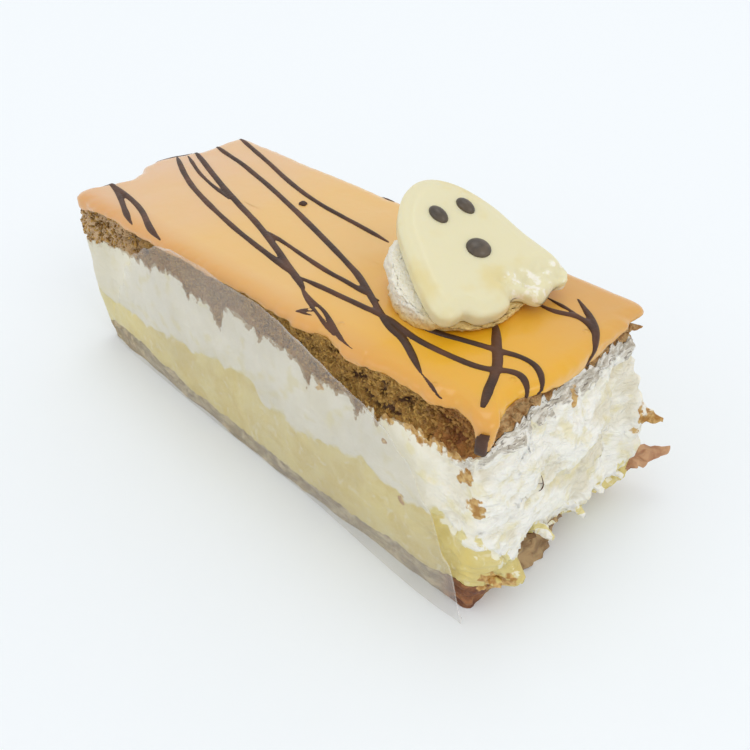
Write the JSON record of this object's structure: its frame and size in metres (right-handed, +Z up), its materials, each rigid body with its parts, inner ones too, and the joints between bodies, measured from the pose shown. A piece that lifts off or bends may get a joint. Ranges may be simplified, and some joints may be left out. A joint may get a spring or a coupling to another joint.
{
  "type": "mille feuille slice",
  "caption": "Layered cream slice: puff pastry, custard, whipped cream and poured icing with drizzle, topped by a moulded chocolate figure, film on one long side.",
  "frame": {"origin": "on the table under the middle of the slice, half way along and across it", "axes": "+X along the slice towards its torn end, -Y out of the long side with the film, +Z up"},
  "size_m": [0.1235, 0.0548, 0.0565],
  "materials": {
    "base_crust": "baked puff pastry base, dry, flaky and porous",
    "custard": "set pastry cream, soft and moist",
    "whipped_cream": "whipped cream, soft and slightly rough",
    "puff_pastry": "browned puff pastry with open flaky layers",
    "icing": "poured orange icing, smooth with a soft gloss",
    "dark_chocolate": "thin dark chocolate drizzle, satin gloss",
    "white_chocolate": "moulded ivory chocolate, rounded and glossy",
    "clear_film": "thin clear film with a faint grey haze"
  },
  "bodies": {
    "root": {"base_pastry": "base_crust", "custard": "custard", "cream": "whipped_cream", "top_pastry": "puff_pastry", "icing": "icing", "cream_dollop": "whipped_cream", "ghost": "white_chocolate", "film": "clear_film"}
  },
  "joints": []
}
